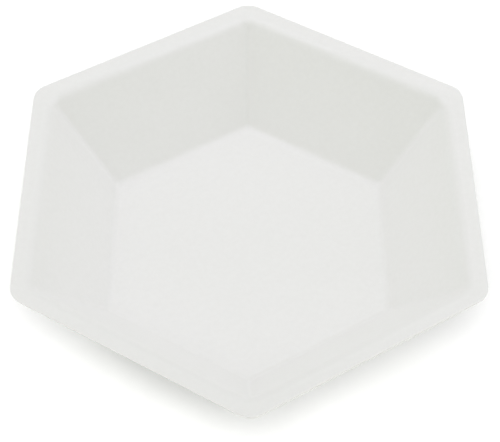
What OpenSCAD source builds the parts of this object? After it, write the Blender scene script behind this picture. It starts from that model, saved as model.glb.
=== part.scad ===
// Hexagonal weighing boat, formed in one piece from thin polystyrene sheet.
// It has a flat floor, six sloping walls that meet in narrow creases, and a flange
// around the mouth that rises a little towards its cut edge. It stands on its floor,
// with a corner towards -Y and +Y.

/* [Mouth and floor] */
// Width of the mouth across flats, where the walls would cut the top of the flange
mouth_w = 110.2; // [95:0.1:150]
// Width of the floor across flats, where the walls would cut its upper face
floor_w = 75.7; // [50:0.1:85]
// Depth inside, from where the walls would cut the flange down to the floor
depth = 25.7; // [16:0.1:45]

/* [Flange] */
// Width of the flat part of the flange, from the end of its bend to its cut edge
flange_w = 3.1; // [1.5:0.1:10]
// Angle at which the flange rises from level towards its cut edge
flange_lean = 8; // [0:0.5:15]
// Radius of the flange's outer corners, seen from above
flange_corner_r = 5.5; // [1:0.1:15]

/* [Sheet and bends] */
// Thickness of the sheet
sheet_t = 0.4; // [0.25:0.05:1]
// Inside radius of the bend between the walls and the flange, on its underside
rim_bend_r = 3.5; // [0.5:0.1:4.5]
// Inside radius of the bend between the floor and the walls, on its upper side
floor_bend_r = 2.6; // [0.4:0.1:3.5]
// Radius of the creases where two walls meet, on their inner side
crease_r = 1.4; // [0.4:0.1:4]
// Radius of the mouth's corners, to which the creases open out below the flange
rim_corner_r = 6.5; // [3:0.1:10]
// Height below the flange over which the creases open out
crease_opening = 5; // [3:0.5:10]

/* [Smoothness] */
// Steps around each bend
bend_steps = 10; // [3:1:16]
// Steps up the part of the walls where the creases open out
opening_steps = 6; // [2:1:12]
// Steps around each of the six corners
corner_steps = 8; // [2:1:12]

/* [Hidden] */

SIDES = 6;
HALF_CORNER = 180 / SIDES;
// The creases start to open out at least this far below the flange's bend
LEAST_OPENING = 0.5;

// Slope of the walls from level
wall_slope = atan2(depth, (mouth_w - floor_w) / 2);
// How far each bend reaches past the line where its two faces would meet
rim_r = rim_bend_r + sheet_t;
rim_reach = rim_r * tan((wall_slope - flange_lean) / 2);
floor_reach = floor_bend_r * tan(wall_slope / 2);
flange_edge = mouth_w / 2 + (rim_reach + flange_w) * cos(flange_lean);
flange_top_z = sheet_t + depth + (rim_reach + flange_w) * sin(flange_lean);
// Centres of the two bends, as [distance from the middle, height]
rim_centre = [
    mouth_w / 2 + rim_reach * cos(flange_lean) + rim_r * sin(flange_lean),
    sheet_t + depth + rim_reach * sin(flange_lean) - rim_r * cos(flange_lean)
];
floor_centre = [floor_w / 2 - floor_reach, sheet_t + floor_bend_r];

// One bend of the section, as [distance from the middle, height, lean of the sheet].
// It lies over its centre (side = 1) or under it (side = -1).
function bend(centre, radius, side, start, end) = [
    for (i = [0 : bend_steps])
        let (lean = start + (end - start) * i / bend_steps)
        [centre[0] - side * radius * sin(lean), centre[1] + side * radius * cos(lean), lean]
];

at_floor = bend(floor_centre, floor_bend_r, -1, 0, wall_slope);
at_rim = bend(rim_centre, rim_r, 1, wall_slope, flange_lean);
wall_top = at_rim[0];
rim_z = at_rim[bend_steps][1];

// Points up the top of the wall, where the creases open out
opening_start_z = min(rim_z - crease_opening, wall_top[1] - LEAST_OPENING);
at_opening = [
    for (i = [0 : opening_steps - 1])
        let (z = opening_start_z + (wall_top[1] - opening_start_z) * i / opening_steps)
        [wall_top[0] - (wall_top[1] - z) / tan(wall_slope), z, wall_slope]
];

// The sheet's upper face, from the edge of the floor to the start of the flat flange
section = concat(at_floor, at_opening, at_rim);

// A crease keeps one radius up the wall, and opens out smoothly just below the flange
function corner_r_at(z) =
    let (up = max(0, (z - opening_start_z) / (rim_z - opening_start_z)))
    crease_r + (rim_corner_r - crease_r) * up * up;

// A level hexagon with rounded corners: its flats lie apothem from the middle
function ring(apothem, corner_r, z) = [
    for (side = [0 : SIDES - 1], step = [0 : corner_steps])
        let (
            corner = 90 + side * 2 * HALF_CORNER,
            a = corner - HALF_CORNER + step * 2 * HALF_CORNER / corner_steps,
            to_centre = (apothem - corner_r) / cos(HALF_CORNER)
        )
        [
            to_centre * cos(corner) + corner_r * cos(a),
            to_centre * sin(corner) + corner_r * sin(a),
            z
        ]
];

// The ring through one point of the section, on the upper face ...
function upper_ring(p) = ring(p[0], corner_r_at(p[1]), p[1]);
// ... and a sheet's thickness below it, square to the sheet
function lower_ring(p) =
    let (out = sheet_t * sin(p[2]))
    ring(p[0] + out, corner_r_at(p[1]) + out, p[1] - sheet_t * cos(p[2]));

// A closed solid through rings of equal length, with a flat face on its first and last
module loft(rings) {
    count = len(rings[0]);
    last = len(rings) - 1;
    sides = [
        for (r = [0 : last - 1], i = [0 : count - 1])
            let (j = (i + 1) % count)
            [r * count + j, (r + 1) * count + j, (r + 1) * count + i, r * count + i]
    ];
    first_cap = [for (i = [count - 1 : -1 : 0]) i];
    last_cap = [for (i = [0 : count - 1]) last * count + i];
    polyhedron(
        points = [for (r = rings, p = r) p],
        faces = concat([first_cap], sides, [last_cap])
    );
}

// The whole dish: up its inner face, over the flange's cut edge and down its underside
module weighing_boat() {
    last = len(section) - 1;
    color("white")
    loft(concat(
        [for (p = section) upper_ring(p)],
        [
            ring(flange_edge, flange_corner_r, flange_top_z),
            ring(flange_edge, flange_corner_r, flange_top_z - sheet_t / cos(flange_lean))
        ],
        [for (i = [last : -1 : 0]) lower_ring(section[i])]
    ));
}

weighing_boat();
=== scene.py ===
"""Hexagonal weighing boat of formed white polystyrene sheet, on a plain white table under soft light."""

import math

import bpy
import numpy as np
from mathutils import Matrix, Vector


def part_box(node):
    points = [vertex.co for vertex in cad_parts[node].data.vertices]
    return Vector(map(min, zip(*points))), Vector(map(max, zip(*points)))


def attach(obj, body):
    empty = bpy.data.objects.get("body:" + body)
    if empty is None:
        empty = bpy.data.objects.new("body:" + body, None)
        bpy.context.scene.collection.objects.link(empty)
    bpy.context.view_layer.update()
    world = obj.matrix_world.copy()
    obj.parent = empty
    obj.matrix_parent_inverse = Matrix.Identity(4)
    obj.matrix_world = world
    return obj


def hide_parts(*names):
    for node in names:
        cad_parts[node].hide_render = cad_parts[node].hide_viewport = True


MM = 0.001

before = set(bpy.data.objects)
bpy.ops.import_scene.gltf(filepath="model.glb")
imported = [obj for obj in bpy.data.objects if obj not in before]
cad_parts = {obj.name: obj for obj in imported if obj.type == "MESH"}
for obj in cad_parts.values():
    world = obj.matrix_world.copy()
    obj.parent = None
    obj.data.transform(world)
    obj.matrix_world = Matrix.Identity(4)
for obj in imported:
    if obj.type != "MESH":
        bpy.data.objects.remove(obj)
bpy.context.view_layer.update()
low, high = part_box("weighing_boat")

# ---------------------------------------------------------------- sizes

SIDES = 6
HALF_CORNER = math.pi / SIDES

SHEET = 0.4 * MM
FLANGE_ACROSS_FLATS = high[0] - low[0]
FLANGE_CORNER_R = 5.5 * MM
FLANGE_LEAN = math.radians(8)

MOUTH_ACROSS_FLATS = 110.2 * MM
FLOOR_ACROSS_FLATS = 75.7 * MM
DEPTH = 25.7 * MM
RIM_BEND_R = 3.5 * MM
FLOOR_BEND_R = 2.6 * MM
CREASE_R = 1.4 * MM
RIM_CORNER_R = 6.5 * MM
CREASE_OPENING = 5 * MM

WALL_RUN = (MOUTH_ACROSS_FLATS - FLOOR_ACROSS_FLATS) / 2
WALL_SLOPE = math.atan2(DEPTH, WALL_RUN)
FLANGE_TOP = high[2]

# How strongly painted shade darkens the sheet towards a grey, from 0 to 1, at each corner: in the
# crease, over the rim and at the foot of the walls. The corners go round from the back one past the
# left. The amounts are set by hand, corner by corner, and where a real sheet is drawn thin may
# differ.
CREASE_PAINTED_SHADE = (0.12, 0.5, 0, 0, 0, 0)
RIM_PAINTED_SHADE = (0, 0.05, 0.4, 0.45, 0.4, 0.05)
FOOT_PAINTED_SHADE = (0.15, 0.1, 0, 0.15, 0.05, 0.1)

# Sizes of the finish: the sheet's satin grain and patches of stretch, its torn cut edge, and the
# orange peel of the table
GRAIN = 1.3 * MM
GRAIN_RELIEF = 0.01 * MM
STRETCH_PATCH = 14 * MM
TEAR = 0.8 * MM
TEAR_RELIEF = 0.005 * MM
PEEL = 2.5 * MM
PEEL_RELIEF = 0.01 * MM

# Above 1 puts the darkest line of painted shade over the rim bend past its middle, towards the flange
TOWARDS_FLANGE = 1.5

# Bends softer than this are shaded smooth, and only the cut edge stays sharp
SHARP = math.radians(40)

BEND_STEPS = 16
OPENING_STEPS = 8
CORNER_STEPS = 12


# ---------------------------------------------------------------- the formed dish

def bend(centre, radius, side, start, end):
    """A bend of the section as (reach, height, lean), from a lean of start to a lean of end."""
    return [
        (
            centre[0] - side * radius * math.sin(lean),
            centre[1] + side * radius * math.cos(lean),
            lean,
        )
        for lean in np.linspace(start, end, BEND_STEPS + 1)
    ]


def section():
    """The sheet's upper face, from the edge of the floor up the wall to the start of the flange."""
    floor_reach = FLOOR_BEND_R * math.tan(WALL_SLOPE / 2)
    floor_centre = (FLOOR_ACROSS_FLATS / 2 - floor_reach, SHEET + FLOOR_BEND_R)
    rim_r = RIM_BEND_R + SHEET
    rim_reach = rim_r * math.tan((WALL_SLOPE - FLANGE_LEAN) / 2)
    rim_centre = (
        MOUTH_ACROSS_FLATS / 2 + rim_reach * math.cos(FLANGE_LEAN) + rim_r * math.sin(FLANGE_LEAN),
        SHEET + DEPTH + rim_reach * math.sin(FLANGE_LEAN) - rim_r * math.cos(FLANGE_LEAN),
    )
    at_floor = bend(floor_centre, FLOOR_BEND_R, -1, 0, WALL_SLOPE)
    at_rim = bend(rim_centre, rim_r, 1, WALL_SLOPE, FLANGE_LEAN)
    wall_top = at_rim[0]
    lowest = at_rim[-1][1] - CREASE_OPENING
    wall = [
        (wall_top[0] - (wall_top[1] - z) / math.tan(WALL_SLOPE), z, WALL_SLOPE)
        for z in np.linspace(lowest, wall_top[1], OPENING_STEPS, endpoint=False)
    ]
    return at_floor + wall + at_rim


def corner_r_at(height, rim_height):
    """A crease keeps one radius up the wall and opens out smoothly just below the rim."""
    up = max(0, 1 - (rim_height - height) / CREASE_OPENING)
    return CREASE_R + (RIM_CORNER_R - CREASE_R) * up**2


def ring(apothem, corner_r, z):
    """A level hexagon with rounded corners."""
    points = []
    to_centre = (apothem - corner_r) / math.cos(HALF_CORNER)
    for side in range(SIDES):
        corner = math.pi / 2 + side * 2 * HALF_CORNER
        for a in np.linspace(corner - HALF_CORNER, corner + HALF_CORNER, CORNER_STEPS + 1):
            x = to_centre * math.cos(corner) + corner_r * math.cos(a)
            y = to_centre * math.sin(corner) + corner_r * math.sin(a)
            points.append((x, y, z))
    return points


def loft(name, rings):
    """A closed mesh through rings of equal length, with a flat face on its first and last."""
    count = len(rings[0])
    last = len(rings) - 1
    vertices = [p for r in rings for p in r]
    faces = [list(range(count))]
    for r in range(last):
        for i in range(count):
            j = (i + 1) % count
            faces.append((r * count + i, (r + 1) * count + i, (r + 1) * count + j, r * count + j))
    faces.append([last * count + i for i in reversed(range(count))])
    mesh = bpy.data.meshes.new(name)
    mesh.from_pydata(vertices, [], faces)
    mesh.update()
    made = bpy.data.objects.new(name, mesh)
    bpy.context.scene.collection.objects.link(made)
    return made


def painted_shade(height, lean, corner_r):
    """How strongly painted shade darkens each point of a ring, from 0 to 1."""
    # Painted shade over the rim bend, at the foot of the walls and in the creases
    over_rim = 0
    at_foot = 0
    if height > SHEET + DEPTH / 2:
        turned = (WALL_SLOPE - lean) / (WALL_SLOPE - FLANGE_LEAN)
        over_rim = math.sin(math.pi * turned**TOWARDS_FLANGE)
    else:
        at_foot = lean / WALL_SLOPE
    in_crease = math.sin(lean) / math.sin(WALL_SLOPE) * (CREASE_R / corner_r) ** 2
    marks = []
    for side in range(SIDES):
        for step in range(CORNER_STEPS + 1):
            across = math.sin(math.pi * step / CORNER_STEPS)
            in_corner = CREASE_PAINTED_SHADE[side] * in_crease * across
            in_bend = RIM_PAINTED_SHADE[side] * over_rim + FOOT_PAINTED_SHADE[side] * at_foot
            marks.append(in_corner + in_bend)
    return marks


def make_dish():
    rim_height = section()[-1][1]
    edge = FLANGE_ACROSS_FLATS / 2
    upper = []
    lower = []
    marks = []
    for reach, height, lean in section():
        corner_r = corner_r_at(height, rim_height)
        out = SHEET * math.sin(lean)
        upper.append(ring(reach, corner_r, height))
        lower.append(ring(reach + out, corner_r + out, height - SHEET * math.cos(lean)))
        marks.append(painted_shade(height, lean, corner_r))
    upper.append(ring(edge, FLANGE_CORNER_R, FLANGE_TOP))
    lower.append(ring(edge, FLANGE_CORNER_R, FLANGE_TOP - SHEET / math.cos(FLANGE_LEAN)))
    marks.append([0] * len(upper[0]))
    dish = loft("formed_dish", upper + lower[::-1])
    mesh = dish.data
    mesh.shade_smooth()
    mesh.set_sharp_from_angle(angle=SHARP)
    # The painted shade rides on the mesh as a point attribute that the material reads
    painted_shade_mask = mesh.attributes.new("painted_shade", "FLOAT", "POINT")
    painted_shade_mask.data.foreach_set("value", np.ravel(marks + marks[::-1]))
    mesh.materials.append(formed_polystyrene())
    mesh.materials.append(die_cut_edge())
    ring_faces = len(upper[0])
    first_edge_face = 1 + (len(upper) - 1) * ring_faces
    for polygon in mesh.polygons[first_edge_face : first_edge_face + ring_faces]:
        polygon.material_index = 1
    return dish


# ---------------------------------------------------------------- materials

def linear(hex_colour):
    """An sRGB hex colour as linear RGBA."""
    channels = [int(hex_colour[i : i + 2], 16) / 255 for i in (1, 3, 5)]
    return [c / 12.92 if c <= 0.04045 else ((c + 0.055) / 1.055) ** 2.4 for c in channels] + [1]


def node(tree, kind, settings=None, inputs=None):
    """Adds a node. inputs maps a socket's name to a value, or to the output that feeds it."""
    made = tree.nodes.new(kind)
    for key, value in (settings or {}).items():
        setattr(made, key, value)
    for key, value in (inputs or {}).items():
        if isinstance(value, bpy.types.NodeSocket):
            tree.links.new(value, made.inputs[key])
        else:
            made.inputs[key].default_value = value
    return made


def new_material(name):
    material = bpy.data.materials.new(name)
    material.use_nodes = True
    material.node_tree.nodes.clear()
    return material


def formed_polystyrene():
    """High-impact polystyrene sheet, vacuum formed over a male tool: opaque white, with a satin face.
    The eye gets an even, almost shadowless white and soft highlights along the bends. The faint grey in
    the creases, over the rim and at the foot of the walls is painted shade."""
    material = new_material("formed_white_polystyrene")
    tree = material.node_tree
    place = node(tree, "ShaderNodeTexCoord").outputs["Object"]
    # The satin grain from the sheet's rollers is about 0.1 mm, and is drawn this coarse to show
    grain = node(
        tree,
        "ShaderNodeTexNoise",
        inputs={"Vector": place, "Scale": 1 / GRAIN, "Detail": 2},
    ).outputs["Fac"]
    # Forming stretches the hot sheet unevenly, in soft patches about as wide as a finger
    stretch = node(
        tree,
        "ShaderNodeTexNoise",
        inputs={"Vector": place, "Scale": 1 / STRETCH_PATCH, "Detail": 1},
    ).outputs["Fac"]
    # Painted shade: a mask that darkens the colour in the creases, over the rim and at the foot of the
    # walls
    painted_shade_mask = node(tree, "ShaderNodeAttribute", {"attribute_name": "painted_shade"}).outputs["Fac"]
    # A Mix node's sockets share their names, so they go by number: factor, colour, colour
    resin = node(
        tree,
        "ShaderNodeMix",
        {"data_type": "RGBA"},
        {0: grain, 6: linear("#f9f9f7"), 7: linear("#fffffd")},
    ).outputs[2]
    # The painted shade mixes the resin towards this grey
    colour = node(
        tree,
        "ShaderNodeMix",
        {"data_type": "RGBA"},
        {0: painted_shade_mask, 6: resin, 7: linear("#f7f7f5")},
    ).outputs[2]
    gloss = node(
        tree,
        "ShaderNodeMapRange",
        inputs={"Value": stretch, "To Min": 0.3, "To Max": 0.4},
    ).outputs["Result"]
    relief = node(
        tree,
        "ShaderNodeBump",
        inputs={"Height": grain, "Strength": 1, "Distance": GRAIN_RELIEF},
    ).outputs["Normal"]
    shader = node(
        tree,
        "ShaderNodeBsdfPrincipled",
        inputs={"Base Color": colour, "Roughness": gloss, "IOR": 1.59, "Normal": relief},
    )
    node(tree, "ShaderNodeOutputMaterial", inputs={"Surface": shader.outputs["BSDF"]})
    return material


def die_cut_edge():
    """The same sheet where a steel rule trimmed it: a torn, matt face, coloured a shade greyer as
    painted shade against the light that the bright table throws onto it.
    """
    material = new_material("die_cut_polystyrene_edge")
    tree = material.node_tree
    place = node(tree, "ShaderNodeTexCoord").outputs["Object"]
    # The tear's ridges are about as far apart as the sheet is thick, drawn twice as coarse to show
    tear = node(
        tree,
        "ShaderNodeTexNoise",
        inputs={"Vector": place, "Scale": 1 / TEAR, "Detail": 2},
    ).outputs["Fac"]
    # Painted shade: the edge's colour is greyer than the sheet's, to hold down the light from the bright
    # table
    resin = node(
        tree,
        "ShaderNodeMix",
        {"data_type": "RGBA"},
        {0: tear, 6: linear("#ededeb"), 7: linear("#f3f3f1")},
    ).outputs[2]
    relief = node(
        tree,
        "ShaderNodeBump",
        inputs={"Height": tear, "Strength": 1, "Distance": TEAR_RELIEF},
    ).outputs["Normal"]
    shader = node(
        tree,
        "ShaderNodeBsdfPrincipled",
        inputs={"Base Color": resin, "Roughness": 0.7, "IOR": 1.59, "Normal": relief},
    )
    node(tree, "ShaderNodeOutputMaterial", inputs={"Surface": shader.outputs["BSDF"]})
    return material


def table_laminate():
    """Melamine laminate, pressed against a matt plate: without a gleam, and with a faint orange peel.
    The laminate itself is a light grey, which the panels over the table lift to white."""
    material = new_material("white_table_laminate")
    tree = material.node_tree
    place = node(tree, "ShaderNodeTexCoord").outputs["Object"]
    peel = node(
        tree,
        "ShaderNodeTexNoise",
        inputs={"Vector": place, "Scale": 1 / PEEL, "Detail": 1},
    ).outputs["Fac"]
    tone = node(
        tree,
        "ShaderNodeMix",
        {"data_type": "RGBA"},
        {0: peel, 6: linear("#bbbbbb"), 7: linear("#bdbdbd")},
    ).outputs[2]
    relief = node(
        tree,
        "ShaderNodeBump",
        inputs={"Height": peel, "Strength": 1, "Distance": PEEL_RELIEF},
    ).outputs["Normal"]
    shader = node(
        tree,
        "ShaderNodeBsdfPrincipled",
        inputs={"Base Color": tone, "Roughness": 0.9, "IOR": 1.5, "Normal": relief},
    )
    node(tree, "ShaderNodeOutputMaterial", inputs={"Surface": shader.outputs["BSDF"]})
    return material


# ---------------------------------------------------------------- table, camera and light

# The white room is a shade warmer than the soft panels, and the one at the window is the coolest
ROOM_WHITE = "#fbfff2"
PANEL_WHITE = "#f0e9ff"
WINDOW_WHITE = "#e9dfff"
TABLE_WHITE = "#ffffff"

# Distances of the round panels in metres, the height that they aim at, and their widths as shares
# of their distance
NEAR = 0.3
FAR = 0.8
FARTHER = 0.82
AIM = 20 * MM
WIDE = 0.7
SMALL = 0.25

# The table is a square of this width in metres, just under the dish so that the two don't touch
TABLE_WIDTH = 4
TABLE_GAP = 0.05 * MM

# The camera's place and aim, in flange radii, its turns and its lens in millimetres
CAMERA_DISTANCE = 4.954
CAMERA_ELEVATION = math.radians(53.315)
CAMERA_AZIMUTH = math.radians(-0.657)
CAMERA_ROLL = math.radians(0.5176)
CAMERA_AIM = (0.0031, -0.1613)
SENSOR = 36
LENS = 95.05


def make_table():
    bpy.ops.mesh.primitive_plane_add(size=TABLE_WIDTH, location=(0, 0, -TABLE_GAP))
    table = bpy.context.object
    table.name = "table"
    table.data.materials.append(table_laminate())


def make_camera():
    across_corners = FLANGE_ACROSS_FLATS / math.cos(HALF_CORNER)
    unit = across_corners / 2
    target = Vector((CAMERA_AIM[0] * unit, CAMERA_AIM[1] * unit, FLANGE_TOP))
    back = Vector(
        (
            math.sin(CAMERA_AZIMUTH) * math.cos(CAMERA_ELEVATION),
            -math.cos(CAMERA_AZIMUTH) * math.cos(CAMERA_ELEVATION),
            math.sin(CAMERA_ELEVATION),
        )
    )
    right = Vector((math.cos(CAMERA_AZIMUTH), math.sin(CAMERA_AZIMUTH), 0))
    up = back.cross(right)
    turned_right = right * math.cos(CAMERA_ROLL) + up * math.sin(CAMERA_ROLL)
    turned_up = up * math.cos(CAMERA_ROLL) - right * math.sin(CAMERA_ROLL)
    data = bpy.data.cameras.new("camera")
    camera = bpy.data.objects.new("camera", data)
    bpy.context.scene.collection.objects.link(camera)
    turn = Matrix((turned_right, turned_up, back)).transposed().to_4x4()
    camera.matrix_world = Matrix.Translation(target + back * CAMERA_DISTANCE * unit) @ turn
    data.sensor_width = SENSOR
    data.lens = LENS
    bpy.context.scene.camera = camera


def soft_panel(name, power, distance, azimuth, elevation, colour=PANEL_WHITE, width=WIDE):
    """A round soft panel that faces the dish. The azimuth runs from the back towards the right."""
    turn = math.radians(azimuth)
    rise = math.radians(elevation)
    away = Vector((math.sin(turn) * math.cos(rise), math.cos(turn) * math.cos(rise), math.sin(rise)))
    data = bpy.data.lights.new(name, "AREA")
    data.energy = power
    data.shape = "DISK"
    data.size = width * distance
    data.color = linear(colour)[:3]
    panel = bpy.data.objects.new(name, data)
    bpy.context.scene.collection.objects.link(panel)
    panel.location = away * distance + Vector((0, 0, AIM))
    panel.rotation_euler = (-away).to_track_quat("-Z", "Y").to_euler()
    return panel


def make_light():
    """Each panel: name, power in watts, distance, azimuth and elevation in degrees."""
    world = bpy.data.worlds.new("white_room")
    bpy.context.scene.world = world
    world.use_nodes = True
    background = world.node_tree.nodes["Background"]
    background.inputs["Color"].default_value = linear(ROOM_WHITE)
    background.inputs["Strength"].default_value = 0.58
    soft_panel("panel_back_right", 0.14, NEAR, 60, 60)
    soft_panel("panel_back_left", 0.096, NEAR, 300, 60)
    soft_panel("panel_high_left", 0.32, FAR, 300, 60)
    soft_panel("panel_top", 0.1, FAR, 300, 75)
    soft_panel("panel_right", 0.59, FAR, 90, 30, WINDOW_WHITE)
    soft_panel("panel_left", 0.31, FAR, 270, 30)
    soft_panel("panel_front_left", 0.064, FAR, 225, 30)
    # The panels over the table light nothing else, and burn it out to white around the dish
    # table_right stands a little behind panel_right: two panels in one place would hide each other
    table_only = bpy.data.collections.new("table_only")
    table_only.objects.link(bpy.data.objects["table"])
    for panel in (
        soft_panel("table_front", 8.2, FAR, 180, 60, TABLE_WHITE),
        soft_panel("table_right", 1.9, FARTHER, 90, 30, TABLE_WHITE),
        soft_panel("table_back_left", 0.28, NEAR, 315, 30, TABLE_WHITE),
        soft_panel("table_small_left", 0.7, FAR, 270, 50, TABLE_WHITE, SMALL),
        soft_panel("table_small_low_left", 0.49, FAR, 240, 32, TABLE_WHITE, SMALL),
        soft_panel("table_small_front", 0.7, FAR, 180, 50, TABLE_WHITE, SMALL),
        soft_panel("table_small_right", 0.6, FAR, 150, 50, TABLE_WHITE, SMALL),
        soft_panel("table_small_back", 0.73, FAR, 0, 32, TABLE_WHITE, SMALL),
    ):
        panel.light_linking.receiver_collection = table_only


make_camera()
make_table()
make_light()
dish = make_dish()
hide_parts("weighing_boat")
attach(dish, "root")
bpy.context.scene.view_settings.view_transform = "Standard"
